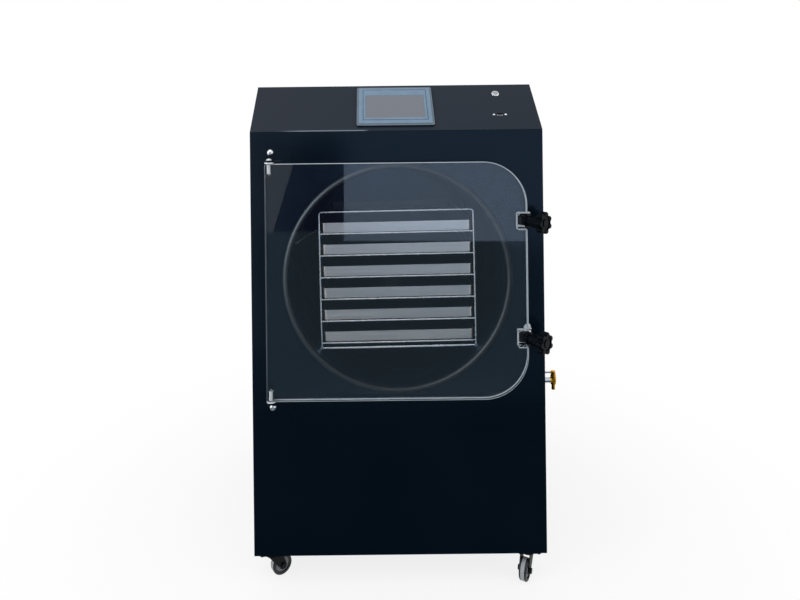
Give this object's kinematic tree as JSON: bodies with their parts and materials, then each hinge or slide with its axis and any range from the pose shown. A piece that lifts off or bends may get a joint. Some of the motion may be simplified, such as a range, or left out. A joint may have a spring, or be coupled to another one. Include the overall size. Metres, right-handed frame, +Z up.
{
  "type": "freeze dryer",
  "caption": "Floor-standing freeze dryer: round vacuum chamber with clear side-hinged door, swing-bolt clamps, wire tray rack, sloping touch-screen face and swivel casters.",
  "frame": {"origin": "on the floor under the centre of the bounding box, which reaches forward to the released clamp knobs, back to the vacuum port and right to the drain valve", "axes": "+X to the machine's right seen from the front, +Y from the door to the back, +Z up"},
  "size_m": [0.76, 0.8266, 1.205],
  "materials": {
    "cabinet_paint": "satin dark blue-black powder coat",
    "slope_paint": "satin dark grey-blue powder coat",
    "inner_sheet": "plain dark coat",
    "drum_steel": "satin stainless sheet",
    "foam": "closed-cell foam",
    "copper": null,
    "seal_rubber": "smooth black rubber",
    "rack_steel": "bright stainless wire",
    "tray_steel": "satin stainless sheet",
    "screen_bezel": "light blue-grey",
    "screen_glass": "grey unlit screen",
    "bright_steel": "polished stainless steel",
    "black_steel": "black coat",
    "clear_acrylic": "clear pane with polished edges",
    "black_plastic": "black moulded plastic",
    "brass": "turned brass",
    "zinc_steel": "zinc plated",
    "fork_steel": "black coat",
    "wheel_rubber": "grey tread, dark hub",
    "pot_paint": "gloss black",
    "fin_aluminium": "bare fins"
  },
  "bodies": {
    "cabinet": {"base_pan": "inner_sheet", "front_panel": "cabinet_paint", "side_panel_left": "cabinet_paint", "side_panel_right": "cabinet_paint", "rear_panel": "cabinet_paint", "top_panel": "cabinet_paint", "control_panel": "slope_paint", "deck_plate": "inner_sheet", "chamber_drum": "drum_steel", "chamber_jacket": "foam", "cooling_coil": "copper", "door_seal": "seal_rubber", "tray_rack": "rack_steel", "tray_1": "tray_steel", "tray_2": "tray_steel", "tray_3": "tray_steel", "tray_4": "tray_steel", "tray_5": "tray_steel", "tray_6": "tray_steel", "temperature_probe": "rack_steel", "screen_housing": "screen_bezel", "screen_glass": "screen_glass", "button_bezel": "bright_steel", "data_socket": "bright_steel", "hinge_bracket_upper": "black_steel", "hinge_bracket_lower": "black_steel", "hinge_pin_upper": "bright_steel", "hinge_pin_lower": "bright_steel", "hinge_screws": "bright_steel", "clamp_plates": "bright_steel", "clamp_bracket_upper": "black_steel", "clamp_bracket_lower": "black_steel", "clamp_screws": "bright_steel", "small_screws": "bright_steel", "drain_valve": "brass", "drain_pipe": "bright_steel", "vacuum_port": "bright_steel", "power_inlet": "black_plastic", "caster_plates": "zinc_steel", "compressor": "pot_paint", "condenser": "fin_aluminium", "fan_frame": "black_plastic"},
    "door": {"door_pane": "clear_acrylic"},
    "clamp_upper": {"swing_bolt_upper": "bright_steel", "clamp_sleeve_upper": "black_plastic"},
    "clamp_lower": {"swing_bolt_lower": "bright_steel", "clamp_sleeve_lower": "black_plastic"},
    "knob_upper": {"star_knob_upper": "black_plastic"},
    "knob_lower": {"star_knob_lower": "black_plastic"},
    "button": {"button_cap": "bright_steel"},
    "drain_lever": {"drain_handle": "black_plastic"},
    "fan": {"fan_rotor": "black_plastic"},
    "swivel_fl": {"caster_fork_fl": "fork_steel"},
    "wheel_fl": {"caster_wheel_fl": "wheel_rubber"},
    "swivel_fr": {"caster_fork_fr": "fork_steel"},
    "wheel_fr": {"caster_wheel_fr": "wheel_rubber"},
    "swivel_rl": {"caster_fork_rl": "fork_steel"},
    "wheel_rl": {"caster_wheel_rl": "wheel_rubber"},
    "swivel_rr": {"caster_fork_rr": "fork_steel"},
    "wheel_rr": {"caster_wheel_rr": "wheel_rubber"}
  },
  "joints": [
    {"name": "door_hinge", "type": "hinge", "parent": "cabinet", "child": "door", "pos_m": [-0.331, -0.35369, 0.7345], "axis": [0, 0, -1], "range_deg": [0, 115]},
    {"name": "clamp_swing_upper", "type": "hinge", "parent": "cabinet", "child": "clamp_upper", "pos_m": [0.267, -0.34769, 0.8735], "axis": [0, 0, 1], "range_deg": [-43, 17]},
    {"name": "knob_turn_upper", "type": "hinge", "parent": "clamp_upper", "child": "knob_upper", "pos_m": [0.30833, -0.39201, 0.8735], "axis": [0.682, -0.7314, 0], "continuous": true},
    {"name": "clamp_swing_lower", "type": "hinge", "parent": "cabinet", "child": "clamp_lower", "pos_m": [0.267, -0.34769, 0.5955], "axis": [0, 0, 1], "range_deg": [-43, 17]},
    {"name": "knob_turn_lower", "type": "hinge", "parent": "clamp_lower", "child": "knob_lower", "pos_m": [0.30833, -0.39201, 0.5955], "axis": [0.682, -0.7314, 0], "continuous": true},
    {"name": "button_press", "type": "slide", "parent": "cabinet", "child": "button", "axis": [0, 0.6919, -0.722], "range_m": [0, 0.002], "stiffness_N_per_m": 1500, "springref_m": -0.0005},
    {"name": "drain_lever_turn", "type": "hinge", "parent": "cabinet", "child": "drain_lever", "pos_m": [0.372, -0.23169, 0.465], "axis": [0, 0, 1], "range_deg": [0, 90]},
    {"name": "fan_spin", "type": "hinge", "parent": "cabinet", "child": "fan", "pos_m": [-0.148, 0.34331, 0.285], "axis": [0, 1, 0], "continuous": true},
    {"name": "caster_swivel_fl", "type": "hinge", "parent": "cabinet", "child": "swivel_fl", "pos_m": [-0.34, -0.30169, 0.055], "axis": [0, 0, 1], "continuous": true},
    {"name": "wheel_roll_fl", "type": "hinge", "parent": "swivel_fl", "child": "wheel_fl", "pos_m": [-0.32176, -0.28939, 0.025], "axis": [-0.5592, 0.829, 0], "continuous": true},
    {"name": "caster_swivel_fr", "type": "hinge", "parent": "cabinet", "child": "swivel_fr", "pos_m": [0.284, -0.30169, 0.055], "axis": [0, 0, 1], "continuous": true},
    {"name": "wheel_roll_fr", "type": "hinge", "parent": "swivel_fr", "child": "wheel_fr", "pos_m": [0.273, -0.32074, 0.025], "axis": [0.866, -0.5, 0], "continuous": true},
    {"name": "caster_swivel_rl", "type": "hinge", "parent": "cabinet", "child": "swivel_rl", "pos_m": [-0.34, 0.33831, 0.055], "axis": [0, 0, 1], "continuous": true},
    {"name": "wheel_roll_rl", "type": "hinge", "parent": "swivel_rl", "child": "wheel_rl", "pos_m": [-0.31933, 0.34584, 0.025], "axis": [-0.342, 0.9397, 0], "continuous": true},
    {"name": "caster_swivel_rr", "type": "hinge", "parent": "cabinet", "child": "swivel_rr", "pos_m": [0.284, 0.33831, 0.055], "axis": [0, 0, 1], "continuous": true},
    {"name": "wheel_roll_rr", "type": "hinge", "parent": "swivel_rr", "child": "wheel_rr", "pos_m": [0.29433, 0.35774, 0.025], "axis": [-0.8829, 0.4695, 0], "continuous": true}
  ]
}
